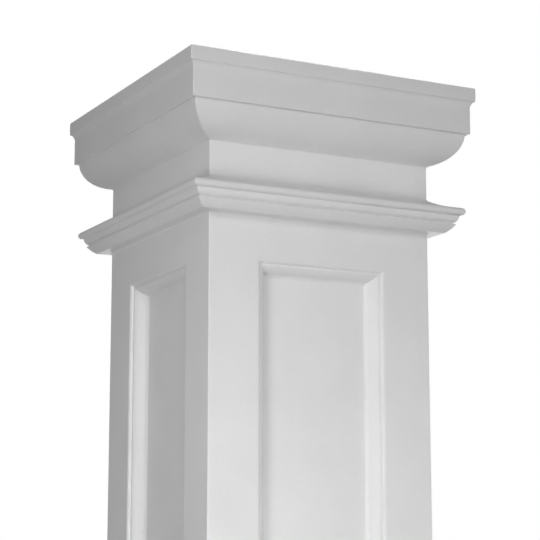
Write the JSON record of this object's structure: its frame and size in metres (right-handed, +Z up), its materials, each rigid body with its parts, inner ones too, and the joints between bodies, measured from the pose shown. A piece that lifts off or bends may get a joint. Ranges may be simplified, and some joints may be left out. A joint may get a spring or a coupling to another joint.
{
  "type": "square column",
  "caption": "Hollow square column with a recessed moulded panel on each side, a crown capital, a neck moulding and a moulded plinth base.",
  "frame": {"origin": "on the ground under the middle of the column", "axes": "+Z up the column, -Y out of its front face, +X to the right seen from the front"},
  "size_m": [0.385, 0.385, 2.438],
  "materials": {
    "shaft_paint": "joinery softwood, filled, primed and sprayed in white satin paint",
    "panel_moulding_paint": "run softwood moulding, primed and sprayed in white satin paint",
    "crown_paint": "run softwood moulding, primed and sprayed in white satin paint",
    "neck_paint": "run softwood moulding, primed and sprayed in white satin paint",
    "base_paint": "run softwood moulding, primed and sprayed in white satin paint",
    "plinth_paint": "softwood board, filled, primed and sprayed in white satin paint"
  },
  "bodies": {
    "root": {"shaft_side_front": "shaft_paint", "shaft_side_right": "shaft_paint", "shaft_side_back": "shaft_paint", "shaft_side_left": "shaft_paint", "panel_moulding_front_top": "panel_moulding_paint", "panel_moulding_front_right": "panel_moulding_paint", "panel_moulding_front_bottom": "panel_moulding_paint", "panel_moulding_front_left": "panel_moulding_paint", "panel_moulding_right_top": "panel_moulding_paint", "panel_moulding_right_right": "panel_moulding_paint", "panel_moulding_right_bottom": "panel_moulding_paint", "panel_moulding_right_left": "panel_moulding_paint", "panel_moulding_back_top": "panel_moulding_paint", "panel_moulding_back_right": "panel_moulding_paint", "panel_moulding_back_bottom": "panel_moulding_paint", "panel_moulding_back_left": "panel_moulding_paint", "panel_moulding_left_top": "panel_moulding_paint", "panel_moulding_left_right": "panel_moulding_paint", "panel_moulding_left_bottom": "panel_moulding_paint", "panel_moulding_left_left": "panel_moulding_paint", "crown_moulding_front": "crown_paint", "crown_moulding_right": "crown_paint", "crown_moulding_back": "crown_paint", "crown_moulding_left": "crown_paint", "neck_moulding_front": "neck_paint", "neck_moulding_right": "neck_paint", "neck_moulding_back": "neck_paint", "neck_moulding_left": "neck_paint", "base_moulding_front": "base_paint", "base_moulding_right": "base_paint", "base_moulding_back": "base_paint", "base_moulding_left": "base_paint", "plinth_board_front": "plinth_paint", "plinth_board_right": "plinth_paint", "plinth_board_back": "plinth_paint", "plinth_board_left": "plinth_paint"}
  },
  "joints": []
}
